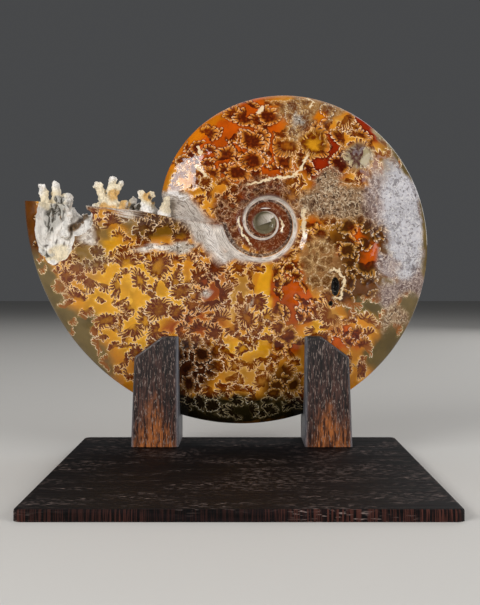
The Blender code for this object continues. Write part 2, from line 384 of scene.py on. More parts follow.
# Each knob's two ends from the pole, the lower one first, and its radius at each, in millimetres.
KNOBS = (
    # The far wall's knobs behind the bowl
    ((-82.0, 1.5, 4.0), (-84.0, 0.8, 14.8), 1.9, 1.4),
    ((-78.6, 3.0, 3.0), (-79.4, 2.4, 16.0), 3.0, 1.3),
    ((-77.0, 4.5, 6.0), (-75.4, 4.0, 10.6), 3.2, 2.2),
    # The ridges at the bowl's right side
    ((-74.6, -3.5, -3.0), (-73.2, -3.0, 4.4), 1.9, 1.1),
    ((-64.0, -7.5, -2.5), (-66.4, -7.0, 3.0), 2.2, 1.3),
    # The forked knob, with its trunk
    ((-57.2, -6.0, 0.5), (-57.6, -6.0, 7.0), 4.4, 3.6),
    ((-59.6, -6.0, 7.0), (-62.0, -6.0, 15.0), 1.7, 1.2),
    ((-61.9, -6.0, 14.8), (-63.1, -6.0, 14.4), 1.1, 0.8),
    ((-57.2, -5.5, 8.0), (-57.0, -5.5, 17.0), 2.3, 1.3),
    ((-56.6, -5.0, 11.4), (-53.8, -5.0, 15.4), 1.4, 1.0),
    ((-59.5, -6.5, 4.0), (-62.2, -6.8, 7.0), 2.2, 1.4),
    ((-54.6, -7.0, 3.0), (-52.4, -7.0, 7.6), 2.2, 1.5),
    # The low saddle and the double knob
    ((-48.6, -2.5, 3.0), (-47.6, -2.0, 6.4), 2.8, 2.2),
    ((-44.2, -6.4, 1.0), (-44.4, -6.4, 9.4), 2.6, 1.7),
    ((-44.4, -6.4, 9.0), (-46.3, -6.4, 11.9), 1.6, 1.3),
    ((-44.4, -6.4, 9.0), (-42.6, -6.4, 11.2), 1.6, 1.4),
    ((-38.4, -5.5, 2.0), (-36.9, -5.5, 9.2), 2.6, 1.4),
    # The far flank's knobs and the walls that cross between the flanks
    ((-52.0, 6.5, 3.0), (-50.4, 6.5, 10.8), 3.0, 1.1),
    ((-61.5, 7.0, 2.0), (-60.4, 7.0, 8.4), 3.4, 1.7),
    ((-43.0, 7.5, 2.0), (-44.0, 7.5, 8.6), 2.8, 1.6),
    ((-52.0, -8.0, 0.0), (-51.0, 8.0, 1.4), 2.6, 2.6),
    ((-63.0, -6.0, -2.0), (-62.0, 7.0, 0.0), 2.4, 2.6),
)
KNOB_SIDES = 24
KNOB_GRAIN = 0.38 * MM
KNOB_ROUGHNESS = 0.8 * MM
HOLLOW_ROUGHNESS = 0.12
LUMP_SIZE = 1.5 * MM
# How a lump's finer lumps fall off, how much finer each is, and how many of them there are.
LUMPS = (0.9, 2.1, 3)


def roughen(bm, size, height):
    """Moves a bmesh's vertices in and out along their normals, by lumps of that size and height."""
    bm.normal_update()
    moves = [corner.normal * (noise.fractal(corner.co / size, *LUMPS) * height) for corner in bm.verts]
    for corner, move in zip(bm.verts, moves):
        corner.co += move


for name, (centre, half_sizes) in HOLLOWS.items():
    bm = bmesh.new()
    place = Matrix.Scale(MM, 4) @ Matrix.Translation(centre) @ Matrix.Diagonal((*half_sizes, 1.0))
    bmesh.ops.create_icosphere(bm, subdivisions=5, radius=1.0, matrix=place)
    roughen(bm, 2 * LUMP_SIZE, min(half_sizes) * MM * HOLLOW_ROUGHNESS)
    cut_or_join(ammonite, new_object(name, bm, chalk), "DIFFERENCE")

bm = bmesh.new()
for low, high, low_radius, high_radius in KNOBS:
    low, high = Vector(low) * MM, Vector(high) * MM
    stem = high - low
    turned = stem.to_track_quat("Z", "Y").to_matrix().to_4x4()
    bmesh.ops.create_cone(
        bm,
        cap_ends=True,
        segments=KNOB_SIDES,
        radius1=low_radius * MM,
        radius2=high_radius * MM,
        depth=stem.length,
        matrix=Matrix.Translation((low + high) / 2) @ turned,
    )
    for end, radius in ((low, low_radius), (high, high_radius)):
        place = Matrix.Translation(end)
        bmesh.ops.create_icosphere(bm, subdivisions=3, radius=radius * MM, matrix=place)
knobs = new_object("calcite_knobs", bm, chalk)
fused = knobs.modifiers.new("fused", "REMESH")
fused.mode = "VOXEL"
fused.voxel_size = KNOB_GRAIN
applied(knobs)
bm = bmesh.new()
bm.from_mesh(knobs.data)
bpy.data.objects.remove(knobs)
roughen(bm, LUMP_SIZE, KNOB_ROUGHNESS)
cut_or_join(ammonite, new_object("rough_knobs", bm, chalk), "UNION")

# Shell pattern
# The polish cuts through the folded walls between the chambers. Each wall shows as a thin cream line that
# winds round rounded fingers, gathered in florets, and each chamber's calcite has its own colour.
SHARP_ANGLE = radians(50)
ammonite.data.transform(Matrix.Translation(POLE))
ammonite.data.shade_smooth()
ammonite.data.set_sharp_from_angle(angle=SHARP_ANGLE)

# Places on the near flank are given as they were measured, in pixels of the photograph, across and down.
PIXEL = 0.374
POLE_COLUMN = 266.7
POLE_ROW = 226.4
# Each kind of calcite: its plain colour, the bright and the dark side of a wall, and the wall's line. Then
# the share of the dark side that lies outside the fingers, the share of fine winding lines, and the size
# of a finger and of a floret in millimetres. The four shares and sizes stand in these columns of its row.
DARK_OUTSIDE, FINE_LINES, FINGER, FLORET = 12, 13, 14, 15
CALCITES = {
    "tawny": ((194, 122, 28), (222, 156, 48), (96, 34, 4), (240, 196, 140), 0.0, 0.0, 1.6, 3.6),
    "gold": ((210, 146, 26), (234, 174, 48), (96, 32, 2), (244, 202, 144), 0.0, 0.0, 1.65, 3.8),
    "orange": ((184, 76, 4), (206, 124, 40), (78, 24, 4), (236, 184, 122), 1.0, 0.0, 1.6, 3.5),
    "amber": ((202, 112, 6), (216, 136, 36), (108, 36, 4), (232, 176, 106), 1.0, 0.0, 1.6, 3.2),
    "red": ((138, 36, 4), (196, 118, 40), (64, 14, 2), (226, 172, 110), 1.0, 0.0, 1.6, 3.5),
    "ember": ((164, 68, 6), (212, 146, 56), (76, 24, 2), (240, 192, 134), 1.0, 0.0, 1.55, 3.3),
    "rust": ((144, 62, 8), (200, 126, 42), (78, 26, 2), (234, 184, 128), 0.0, 0.0, 1.6, 3.6),
    "beige": ((146, 104, 56), (182, 142, 92), (88, 44, 24), (230, 206, 162), 1.0, 0.3, 1.3, 4.0),
    "lichen": ((164, 148, 114), (174, 158, 124), (76, 40, 34), (210, 194, 164), 1.0, 0.0, 1.9, 4.0),
    "wicker": ((142, 98, 56), (184, 142, 90), (88, 48, 14), (218, 182, 126), 0.5, 0.25, 1.4, 2.6),
    "coral": ((136, 106, 78), (168, 140, 110), (58, 34, 22), (210, 188, 158), 0.5, 1.0, 1.0, 2.2),
    "mauve": ((132, 112, 104), (168, 150, 142), (80, 54, 50), (200, 180, 166), 0.5, 0.9, 1.0, 2.4),
    # Pale grey-white: partly the calcite's own grey, partly a painted highlight where the right light shines on
    # the rim.
    "pearl": ((164, 160, 164), (184, 180, 182), (92, 84, 86), (196, 190, 188), 0.5, 1.0, 1.0, 2.2),
    "olive": ((106, 88, 52), (138, 110, 60), (148, 86, 32), (234, 208, 164), 0.0, 0.0, 1.6, 3.8),
    "moss": ((94, 76, 38), (110, 92, 48), (150, 84, 26), (224, 200, 158), 0.0, 0.0, 1.9, 4.0),
    "brown": ((92, 50, 8), (166, 114, 44), (62, 30, 6), (214, 174, 122), 1.0, 0.0, 1.55, 3.3),
    "sand": ((180, 124, 46), (206, 156, 76), (112, 50, 6), (232, 184, 126), 0.0, 0.0, 1.55, 3.2),
    "bronze": ((106, 70, 10), (128, 84, 22), (64, 28, 6), (226, 184, 134), 0.0, 0.0, 1.7, 3.3),
    "umber": ((62, 26, 6), (132, 84, 42), (42, 16, 4), (220, 186, 150), 1.0, 0.0, 1.5, 3.3),
    "speckle": ((100, 44, 18), (162, 100, 50), (50, 16, 4), (214, 170, 128), 0.5, 0.35, 1.3, 2.1),
    # Dark grey: painted shade in the groove where one whorl meets the next.
    "groove_shade": ((84, 72, 62), (150, 138, 126), (36, 24, 18), (176, 162, 150), 0.5, 1.0, 1.0, 2.2),
    "toffee": ((134, 102, 54), (166, 126, 70), (96, 56, 26), (228, 202, 160), 0.0, 0.0, 1.7, 3.3),
    # Near black: painted shade along the bottom of the shell.
    "night": ((30, 24, 8), (70, 58, 34), (24, 14, 4), (168, 150, 114), 0.0, 0.0, 2.0, 4.0),
    "snow": ((240, 230, 218), (250, 244, 236), (136, 120, 108), (236, 226, 214), 0.5, 1.0, 1.0, 2.2),
    "crust": ((176, 162, 146), (222, 210, 198), (72, 56, 44), (240, 232, 222), 0.5, 1.0, 1.0, 2.2),
    "fleece": ((206, 194, 182), (228, 218, 208), (84, 66, 54), (244, 238, 228), 0.5, 1.0, 1.0, 2.2),
    "stone": ((112, 102, 78), (130, 120, 94), (92, 82, 62), (160, 150, 126), 0.5, 0.4, 1.0, 2.2),
}
# Where each kind lies, painted one over the other: across, down, half sizes, and turn in degrees.
REGIONS = (
    # The whorl under the top of the coil
    ("orange", 235, 140, 56, 38, 25),
    ("orange", 262, 172, 34, 18, 10),
    ("amber", 212, 118, 52, 10, 40),
    ("amber", 168, 160, 9, 32, -25),
    ("beige", 326, 108, 38, 13, 28),
    ("beige", 300, 112, 22, 14, 0),
    ("beige", 300, 130, 10, 20, 0),
    ("red", 367, 128, 22, 10, -42),
    ("red", 322, 160, 22, 36, 10),
    ("gold", 312, 145, 11, 13, 0),
    ("amber", 318, 116, 8, 7, 0),
    ("sand", 344, 123, 8, 6, 0),
    ("lichen", 358, 158, 17, 15, 10),
    ("lichen", 385, 140, 16, 5, -48),
    ("coral", 338, 203, 42, 17, 0),
    ("coral", 325, 186, 16, 11, 30),
    ("olive", 412, 250, 26, 110, 12),
    ("olive", 400, 300, 34, 60, 22),
    ("mauve", 374, 212, 13, 40, 0),
    # The right rim: partly the calcite's grey, partly painted highlight.
    ("pearl", 402, 220, 20, 66, 4),
    ("olive", 403, 162, 6, 22, 28),
    ("olive", 426, 220, 4, 60, 4),
    ("mauve", 418, 284, 8, 14, 20),
    ("rust", 236, 204, 24, 15, 30),
    ("speckle", 262, 192, 26, 12, -5),
    ("speckle", 226, 226, 12, 26, 15),
    # Right of the coil's middle
    ("brown", 352, 262, 32, 46, 0),
    ("ember", 312, 232, 12, 14, 0),
    ("wicker", 318, 264, 22, 26, 10),
    ("orange", 353, 234, 7, 12, 10),
    ("orange", 367, 257, 8, 13, -25),
    ("brown", 380, 240, 5, 14, 0),
    ("ember", 338, 250, 4, 8, 0),
    ("brown", 355, 284, 12, 15, 10),
    ("moss", 362, 306, 20, 9, 0),
    ("mauve", 384, 266, 10, 12, 20),
    ("mauve", 396, 292, 22, 12, 20),
    ("olive", 406, 314, 22, 16, 60),
    ("coral", 393, 324, 13, 18, -20),
    ("moss", 386, 345, 28, 16, 42),
    # Under the coil's middle
    ("ember", 288, 292, 18, 36, 10),
    ("orange", 302, 304, 10, 20, 10),
    ("orange", 340, 335, 22, 14, -20),
    ("sand", 326, 317, 11, 13, 30),
    ("gold", 317, 326, 9, 7, 20),
    ("rust", 214, 285, 18, 24, 0),
    ("rust", 200, 322, 26, 12, 0),
    ("rust", 172, 326, 12, 9, 20),
    ("sand", 240, 296, 9, 26, -15),
    ("gold", 264, 300, 7, 40, 0),
    ("gold", 250, 347, 30, 10, -5),
    ("ember", 285, 345, 16, 16, 10),
    ("brown", 282, 382, 20, 14, 0),
    ("sand", 246, 372, 24, 16, 0),
    ("umber", 196, 362, 22, 24, 10),
    # Between the coil's middle and the broken end
    ("gold", 130, 295, 46, 44, 15),
    ("gold", 176, 292, 16, 22, 0),
    ("sand", 90, 262, 20, 20, 0),
    ("toffee", 96, 246, 24, 24, 0),
    ("bronze", 158, 222, 38, 20, -5),
    ("toffee", 133, 226, 10, 12, 0),
    ("gold", 116, 246, 8, 12, 0),
    ("brown", 32, 226, 10, 42, 6),
    ("olive", 52, 290, 13, 42, 25),
    ("olive", 84, 336, 16, 50, 38),
    ("moss", 92, 318, 6, 8, 0),
    ("gold", 140, 336, 22, 16, 20),
    # The painted shade along the bottom of the shell, and the crusts
    ("night", 236, 408, 90, 16, 0),
    ("night", 172, 398, 20, 16, -20),
    ("snow", 158, 250, 16, 3, 4),
    ("crust", 176, 200, 14, 6, -10),
    ("crust", 184, 248, 13, 6, 10),
    ("snow", 132, 211, 7, 9, 0),
    ("snow", 142, 208, 5, 5, 0),
    ("snow", 157, 208, 4, 9, 0),
    ("snow", 172, 205, 5, 7, 0),
    ("crust", 110, 206, 14, 4, 0),
    ("crust", 91, 207, 10, 7, 0),
    ("snow", 90, 234, 6, 14, 0),
    ("crust", 205, 294, 4, 5, 45),
    ("crust", 248, 303, 3, 3, 30),
    ("crust", 297, 124, 4, 7, 20),
)
# Chambers wide enough to show plain between the florets: across, down, half sizes, and turn in degrees.
PLAIN_CHAMBERS = (
    (226, 127, 10, 7, 0),
    (248, 131, 8, 4, -10),
    (222, 146, 9, 6, 10),
    (284, 125, 6, 7, 0),
    (272, 143, 6, 3, 0),
    (269, 165, 5, 7, 0),
    (204, 117, 30, 4, 38),
    (168, 160, 4, 22, -28),
    (226, 184, 4, 3, 0),
    (367, 128, 14, 6, -42),
    (328, 152, 5, 18, 10),
    (318, 166, 9, 4, -10),
    (310, 182, 4, 9, -20),
    (312, 145, 6, 8, 0),
    (318, 116, 5, 5, 0),
    (358, 158, 12, 11, 0),
    (402, 162, 4, 18, 28),
    (97, 248, 4, 9, 0),
    (112, 246, 5, 7, 0),
    (134, 228, 8, 8, 0),
    (106, 304, 13, 5, 8),
    (136, 296, 8, 12, 10),
    (177, 298, 7, 9, 40),
    (184, 263, 10, 4, 30),
    (50, 276, 6, 16, 30),
    (64, 302, 5, 12, 30),
    (84, 338, 8, 22, 40),
    (110, 338, 10, 4, -30),
    (144, 340, 8, 6, 30),
    (172, 326, 8, 6, -30),
    (206, 321, 9, 4, 5),
    (219, 276, 6, 7, 0),
    (242, 290, 4, 14, -15),
    (232, 308, 4, 6, 0),
    (263, 296, 2, 26, 0),
    (258, 346, 8, 3, -5),
    (194, 358, 4, 8, 0),
    (250, 372, 8, 5, 0),
    (290, 300, 5, 20, -8),
    (300, 330, 14, 6, -20),
    (336, 346, 12, 7, -30),
    (330, 313, 7, 9, 30),
    (353, 234, 4, 8, 10),
    (367, 256, 5, 8, -20),
    (381, 238, 2, 6, 10),
    (356, 284, 7, 9, 0),
    (362, 306, 15, 6, 0),
    (402, 312, 8, 5, 20),
    (384, 350, 20, 9, 42),
    (168, 222, 4, 8, 0),
    (150, 220, 4, 8, 0),
)
# The florets that stand out: across, down, radius, the way they face and how far their fingers reach round,
# in degrees.
FLORETS_SEEN = (
    # On the upper half of the inner whorl
    (206, 137, 12, 30, 100),
    (200, 149, 9, 180, 150),
    (226, 161, 13, 90, 120),
    (251, 143, 12, 60, 180),
    (257, 142, 12, 20, 90),
    (243, 141, 8, 160, 120),
    (235, 147, 6, 200, 90),
    (251, 162, 12, 200, 180),
    (259, 163, 9, 10, 90),
    (245, 119, 11, 210, 130),
    (251, 109, 9, 60, 90),
    (269, 118, 11, 0, 180),
    (279, 108, 8, 60, 120),
    (291, 108, 9, 60, 180),
    (268, 130, 9, 170, 120),
    (280, 134, 9, 300, 120),
    (284, 149, 13, 240, 180),
    (290, 146, 10, 20, 90),
    (272, 157, 9, 190, 100),
    (284, 163, 11, 300, 150),
    (238, 174, 11, 80, 180),
    (213, 177, 9, 45, 100),
    (209, 165, 7, 200, 180),
    (255, 176, 8, 270, 180),
    (207, 184, 7, 200, 180),
    (212, 195, 8, 180, 120),
    (223, 188, 9, 60, 120),
    (226, 199, 7, 90, 180),
    (234, 190, 7, 60, 180),
    (307, 125, 15, 170, 100),
    (344, 122, 12, 330, 110),
    (342, 139, 12, 160, 110),
    (359, 139, 11, 80, 110),
    (358, 158, 20, 150, 120),
    (312, 146, 17, 330, 180),
    (304, 172, 10, 10, 100),
    (298, 184, 7, 0, 120),
    (327, 181, 12, 100, 90),
    (347, 180, 9, 270, 90),
    (382, 145, 7, 50, 100),
    (386, 154, 6, 30, 100),
    # Right of the coil's middle
    (364, 264, 13, 270, 110),
    (376, 258, 7, 0, 90),
    (366, 240, 10, 250, 90),
    (346, 282, 9, 0, 100),
    (351, 302, 10, 280, 90),
    (342, 298, 10, 300, 180),
    (368, 283, 9, 90, 100),
    (384, 278, 10, 80, 100),
    (365, 294, 8, 280, 100),
    (388, 300, 9, 260, 180),
    (404, 288, 8, 240, 120),
    (386, 314, 8, 200, 180),
    (364, 322, 12, 55, 90),
    (348, 323, 8, 60, 90),
    (361, 347, 13, 40, 110),
    (349, 341, 8, 160, 120),
    (330, 314, 15, 230, 140),
    (314, 328, 9, 210, 100),
    (334, 328, 9, 280, 90),
    (305, 300, 9, 230, 100),
    (296, 316, 8, 20, 100),
    (322, 304, 7, 190, 90),
    # Under the coil's middle
    (217, 268, 10, 60, 180),
    (200, 276, 10, 150, 150),
    (183, 291, 10, 90, 180),
    (221, 291, 13, 20, 120),
    (212, 298, 14, 280, 90),
    (229, 281, 8, 0, 120),
    (253, 274, 8, 180, 90),
    (254, 286, 8, 180, 90),
    (273, 272, 9, 0, 100),
    (274, 282, 9, 0, 100),
    (275, 295, 8, 20, 90),
    (273, 307, 9, 320, 100),
    (292, 277, 8, 20, 120),
    (247, 316, 12, 200, 180),
    (242, 297, 7, 200, 120),
    (221, 320, 12, 90, 110),
    (200, 330, 14, 120, 90),
    (215, 330, 9, 300, 180),
    (179, 312, 9, 90, 180),
    (160, 309, 14, 80, 180),
    (160, 330, 11, 230, 150),
    (277, 327, 8, 180, 180),
    (284, 335, 11, 0, 180),
    (240, 338, 10, 90, 100),
    (229, 348, 10, 250, 120),
    (250, 360, 9, 270, 110),
    (241, 358, 8, 260, 100),
    (262, 355, 9, 280, 110),
    (274, 352, 9, 250, 120),
    (226, 373, 15, 350, 50),
    (186, 366, 10, 340, 70),
    (212, 387, 12, 250, 120),
    (190, 383, 9, 90, 180),
    (236, 389, 9, 90, 100),
    (246, 390, 9, 80, 100),
    (234, 409, 10, 220, 120),
    (250, 408, 9, 10, 100),
    (283, 370, 12, 10, 80),
    (264, 382, 11, 130, 120),
    (293, 384, 9, 0, 180),
    (290, 402, 9, 270, 110),
    (202, 352, 9, 270, 180),
    (218, 364, 8, 180, 180),
    # Between the coil's middle and the broken end
    (116, 226, 13, 90, 115),
    (147, 231, 12, 90, 130),
    (131, 243, 6, 90, 120),
    (106, 234, 12, 180, 90),
    (101, 252, 8, 150, 180),
    (99, 266, 8, 90, 180),
    (80, 268, 8, 90, 180),
    (71, 277, 10, 250, 180),
    (94, 278, 14, 270, 80),
    (103, 297, 7, 270, 90),
    (130, 266, 14, 90, 100),
    (143, 280, 12, 230, 180),
    (162, 264, 14, 90, 180),
    (123, 287, 12, 180, 110),
    (133, 307, 10, 200, 120),
    (109, 320, 12, 90, 180),
    (97, 326, 10, 270, 70),
    (105, 333, 9, 270, 80),
    (134, 325, 14, 280, 100),
    (81, 300, 13, 85, 90),
    (69, 307, 10, 100, 100),
    (90, 309, 8, 280, 120),
    (40, 246, 6, 90, 120),
    (41, 258, 6, 300, 120),
    (44, 268, 6, 290, 120),
    (74, 319, 6, 300, 120),
    (72, 331, 5, 300, 120),
    (117, 347, 8, 110, 110),
    (128, 347, 8, 90, 110),
    (110, 361, 9, 180, 110),
    (121, 369, 7, 200, 120),
    (169, 228, 8, 90, 120),
    (186, 227, 6, 90, 120),
    (178, 263, 9, 90, 120),
    (190, 261, 8, 80, 120),
)
# Pale cracks and growth lines, and two painted highlights where the light shines on the coil's walls: half
# a width, then the points that each runs through.
CRACKS_AND_GLINTS = (
    (1.2, (246, 187), (263, 183), (274, 180), (292, 179), (299, 172), (302, 166), (307, 156)),
    (0.9, (307, 98), (313, 103), (310, 110)),
    (1.8, (263, 107), (258, 116)),
    (1.4, (198, 147), (202, 157)),
    (1.3, (196, 166), (208, 178)),
    (1.0, (240, 217), (239, 223), (243, 235), (252, 246)),
    # A painted highlight: a thin glint on the coil's wall.
    (0.9, (279, 218), (282, 225), (281, 233)),
    # A painted highlight: the pale upright streak on the wall right of the coil's middle.
    (1.7, (302, 210), (303, 240)),
    (1.2, (327, 272), (335, 268), (342, 280), (338, 298), (330, 298)),
)
# The tints of the rough calcite, and where each lies, in the same way.
CHALKS = {
    "chalk": (248, 242, 234),
    "cream": (244, 228, 196),
    "honey": (222, 176, 104),
    # Grey, where the folds' painted shade shows fully.
    "smoke": (200, 196, 188),
    "toffee": (112, 86, 58),
    # Dark brown: painted shade in small holes and hollows.
    "bark": (58, 42, 28),
    "pit": (16, 12, 8),
}
CHALK_PATCHES = (
    ("cream", 52, 200, 14, 14, 0),
    ("smoke", 60, 198, 6, 5, 0),
    ("smoke", 56, 218, 8, 16, -30),
    # The hollow at the bowl's right: a brown wall darkened with painted shade, and a darker spot of painted
    # shade.
    ("toffee", 77, 225, 5, 8, -25),
    ("toffee", 85, 220, 7, 4, 10),
    ("bark", 81, 219, 5, 2, 10),
    ("cream", 60, 256, 14, 7, 0),
    # Painted shade: dark spots for the holes in the bowl's floor.
    ("bark", 57, 243, 3, 3, 0),
    ("bark", 46, 247, 2, 2, 0),
    ("bark", 66, 249, 2, 2, 0),
    ("smoke", 50, 254, 8, 2, -20),
    ("cream", 112, 198, 20, 16, 0),
    ("honey", 116, 196, 6, 6, 0),
    ("honey", 110, 210, 9, 5, 0),
    ("honey", 126, 208, 5, 7, 0),
    ("cream", 151, 198, 10, 9, 0),
    ("honey", 149, 199, 4, 4, 0),
    ("bark", 151, 199, 1.5, 1.5, 0),
    ("smoke", 136, 208, 8, 5, 0),
    ("cream", 166, 204, 8, 10, 0),
    # Painted shade: the two small pits filled near black.
    ("pit", 332, 286, 12, 16, 0),
    ("pit", 329, 304, 5, 5, 0),
)
REGION_SOFTNESS = 0.22
# How an oval's edge wavers: the size of each wave and how far it goes, in millimetres.
WAVERS = ((9.0, 1.8), (3.2, 1.3))
WAVER_SHIFT = Vector((41.0, 7.0, 23.0))
# How strongly painted shade darkens the folds outside the grey patches.
PLAIN_FOLD_SHADE = 0.25
# The white band along the seam, as shares of the seam's radius and angles of growth. It starts a little
# inside the seam, and widens towards the broken end, where it stops.
BAND_START = -0.03
BAND_WIDTH = 0.12
BAND_WIDENING = 0.12
BAND_EDGE = 0.03
WIDE_FROM = -1.4
BAND_END = -0.1
BAND_FADE = 0.15
# The walls between the bands: speckled within one radius, darkened by painted shade in the groove just
# inside each band within another, and plain stone at the centre, in millimetres, and how far each edge fades.
SPECKLED_WITHIN, SPECKLED_FADE = 12.0, 1.5
STONE_WITHIN, STONE_FADE = 4.4, 0.4
SHADED_WITHIN = 17.0
SHADE_WIDTH = 0.15
SHADE_FADE = 0.06
SHADE_SHARE = 0.8
# The gap that stands for no seam, and the rounds that undo the shift of the coil's middle.
FAR_GAP = 9.0
UNSHIFT_ROUNDS = 3
# The fibrous sweep from the coil's band up to the knobs: its middle's points and half its width in pixels,
# then how soft its edges are, how far it tapers and reaches past its ends, in millimetres, and how many
# fibres come in a millimetre along it and across it.
SWEEP = ((234, 260), (221, 252), (211, 241), (202, 227), (193, 215), (182, 207), (166, 202))
SWEEP_HALF = 11.0
SWEEP_EDGE = 2.6
SWEEP_TAPER = 7.0
SWEEP_START, SWEEP_END = 2.0, 4.0
SWEEP_FIBRES = (0.27, 4.2)
SWEEP_SHARE = 0.85
BAND_FIBRES = (4, 60)
# How far from each pale line, crack and painted highlight alike, its place is kept, in millimetres, and what is
# kept everywhere else.
LINE_REACH = 3.5
NO_PALE_LINE = (9.0, 0.0, -3.0)


def placed(column, row):
    """A place in the photograph as millimetres across and up from the pole."""
    return (column - POLE_COLUMN) * PIXEL, (POLE_ROW - row) * PIXEL


def eased(value):
    """Rises smoothly from 0 to 1 as each value does."""
    value = np.clip(value, 0, 1)
    return value * value * (3 - 2 * value)


def away(across, up, spot):
    """How far points lie from an oval's middle, as a share of its half sizes."""
    column, row, half_x, half_z, turn = spot
    turn = radians(turn)
    middle_x, middle_z = placed(column, row)
    x = across - middle_x
    z = up - middle_z
    along = (x * cos(turn) + z * sin(turn)) / (half_x * PIXEL)
    over = (z * cos(turn) - x * sin(turn)) / (half_z * PIXEL)
    return np.sqrt(along**2 + over**2)


def painted_over(field, new, share):
    """Rows of numbers with a new row laid over each by its share."""
    share = np.reshape(share, (-1, 1))
    return field * (1 - share) + np.array(new) * share


def within_oval(across, up, spot):
    """How much of each point belongs to an oval with a soft edge."""
    return eased((1 + REGION_SOFTNESS - away(across, up, spot)) / (2 * REGION_SOFTNESS))


def kind_row(name):
    """One kind of calcite as a row of numbers: four colours, two shares and two sizes."""
    plain, bright, dark, line, *rest = CALCITES[name]
    return np.array([*tint(*plain)[:3], *tint(*bright)[:3], *tint(*dark)[:3], *tint(*line)[:3], *rest])


def chalk_row(name, folds):
    """One tint of rough calcite as a row of numbers, with how strongly painted shade darkens its folds as the
    fourth.
    """
    return (*tint(*CHALKS[name])[:3], folds)


def wavered(across, up):
    """Points moved a little by a noise, so that an oval painted at them has a natural edge."""
    for size, far in WAVERS:
        places = [Vector((x, size, z)) / size for x, z in zip(across, up)]
        across = across + far * np.array([noise.noise(place) for place in places])
        up = up + far * np.array([noise.noise(place + WAVER_SHIFT) for place in places])
    return across, up


def painted(across, up):
    """Each point's kind of calcite, as rows of four colours, two shares and two sizes."""
    across, up = wavered(across, up)
    field = np.tile(kind_row("tawny"), (len(across), 1))
    for name, *spot in REGIONS:
        field = painted_over(field, kind_row(name), within_oval(across, up, spot))
    return field


def chalked(across, up):
    """Each point's tint of rough calcite, and how strongly painted shade darkens its folds as the fourth
    number.
    """
    across, up = wavered(across, up)
    tints = np.tile(chalk_row("chalk", PLAIN_FOLD_SHADE), (len(across), 1))
    for name, *spot in CHALK_PATCHES:
        folds = 1.0 if name == "smoke" else PLAIN_FOLD_SHADE
        tints = painted_over(tints, chalk_row(name, folds), within_oval(across, up, spot))
    return tints


def seam_gap(across, up):
    """How far out of its own seam and in from the next a point lies, over the seam's radius, and its turn."""
    x, z = across.copy(), up.copy()
    for _ in range(UNSHIFT_ROUNDS):
        radius = np.hypot(x, z)
        reach = eased((radius - UMBILICUS_NEAR / MM) / ((UMBILICUS_FAR - UMBILICUS_NEAR) / MM))
        x = across - UMBILICUS_SHIFT.x / MM * (1 - reach)
        z = up - UMBILICUS_SHIFT.z / MM * (1 - reach)
    radius = np.hypot(x, z)
    back = (np.arctan2(z, x) - END_ANGLE) % TURN
    gap = np.full(len(x), FAR_GAP)
    under = np.full(len(x), FAR_GAP)
    place = np.zeros(len(x))
    for whorl in (2, 1, 0):
        turn = -back - whorl * TURN
        seam = np.array([seam_radius(value) for value in turn]) / MM
        here = radius >= seam * (1 + BAND_START)
        gap = np.where(here, radius / seam - 1, gap)
        under = np.where(here | (under < FAR_GAP), under, 1 - radius / seam)
        place = np.where(here, turn, place)
    return gap, under, place


def banded(field, across, up):
    """The field with the white bands, the speckled walls, the painted shade in the grooves and the centre laid
    on, and the bands' share.
    """
    gap, under, turn = seam_gap(across, up)
    radius = np.hypot(across - UMBILICUS_SHIFT.x / MM, up - UMBILICUS_SHIFT.z / MM)
    wide = BAND_WIDTH + BAND_WIDENING * eased(turn - WIDE_FROM)
    inner = eased((SPECKLED_WITHIN - radius) / SPECKLED_FADE) * (gap > 0.9 * wide)
    centre = eased((STONE_WITHIN - radius) / STONE_FADE)
    band = eased((gap - BAND_START) / BAND_EDGE) * eased((1.25 * wide - gap) / (0.4 * wide))
    band *= eased((BAND_END - turn) / BAND_FADE)
    # Painted shade: grey in the groove just inside each band, where the next whorl covers this one.
    shaded = eased((SHADE_WIDTH - under) / SHADE_FADE) * (radius < SHADED_WITHIN) * SHADE_SHARE
    for name, share in (("speckle", inner), ("groove_shade", shaded), ("snow", band), ("stone", centre)):
        field = painted_over(field, kind_row(name), share)
    return field, band


def beside_line(across, up, spots):
    """How far points lie beside a line through spots and along it, and its length, in millimetres."""
    line = [placed(column, row) for column, row in spots]
    beside = np.full(len(across), 99.0)
    along = np.zeros(len(across))
    passed = 0.0
    for index, (low, high) in enumerate(zip(line, line[1:])):
        size = np.hypot(high[0] - low[0], high[1] - low[1])
        ahead = ((high[0] - low[0]) / size, (high[1] - low[1]) / size)
        forward = (across - low[0]) * ahead[0] + (up - low[1]) * ahead[1]
        aside = (up - low[1]) * ahead[0] - (across - low[0]) * ahead[1]
        first = -LINE_REACH if index == 0 else 0.0
        last = size + LINE_REACH if index == len(line) - 2 else size
        gap = np.hypot(aside, forward - np.clip(forward, first, last))
        nearer = gap < np.abs(beside)
        beside = np.where(nearer, np.copysign(gap, aside), beside)
        along = np.where(nearer, passed + forward, along)
        passed += size
    return beside, along, passed


def swept(across, up):
    """How much of each point belongs to the fibrous sweep, and its place for the fibres."""
    beside, along, length = beside_line(across, up, SWEEP)
    tapered = eased((along + SWEEP_START) / SWEEP_TAPER) * eased((length + SWEEP_END - along) / SWEEP_TAPER)
    share = eased((SWEEP_HALF * PIXEL * tapered - np.abs(beside)) / SWEEP_EDGE + 0.5)
    places = np.stack((along * SWEEP_FIBRES[0], beside * SWEEP_FIBRES[1], np.zeros(len(along))), axis=1)
    return share, places


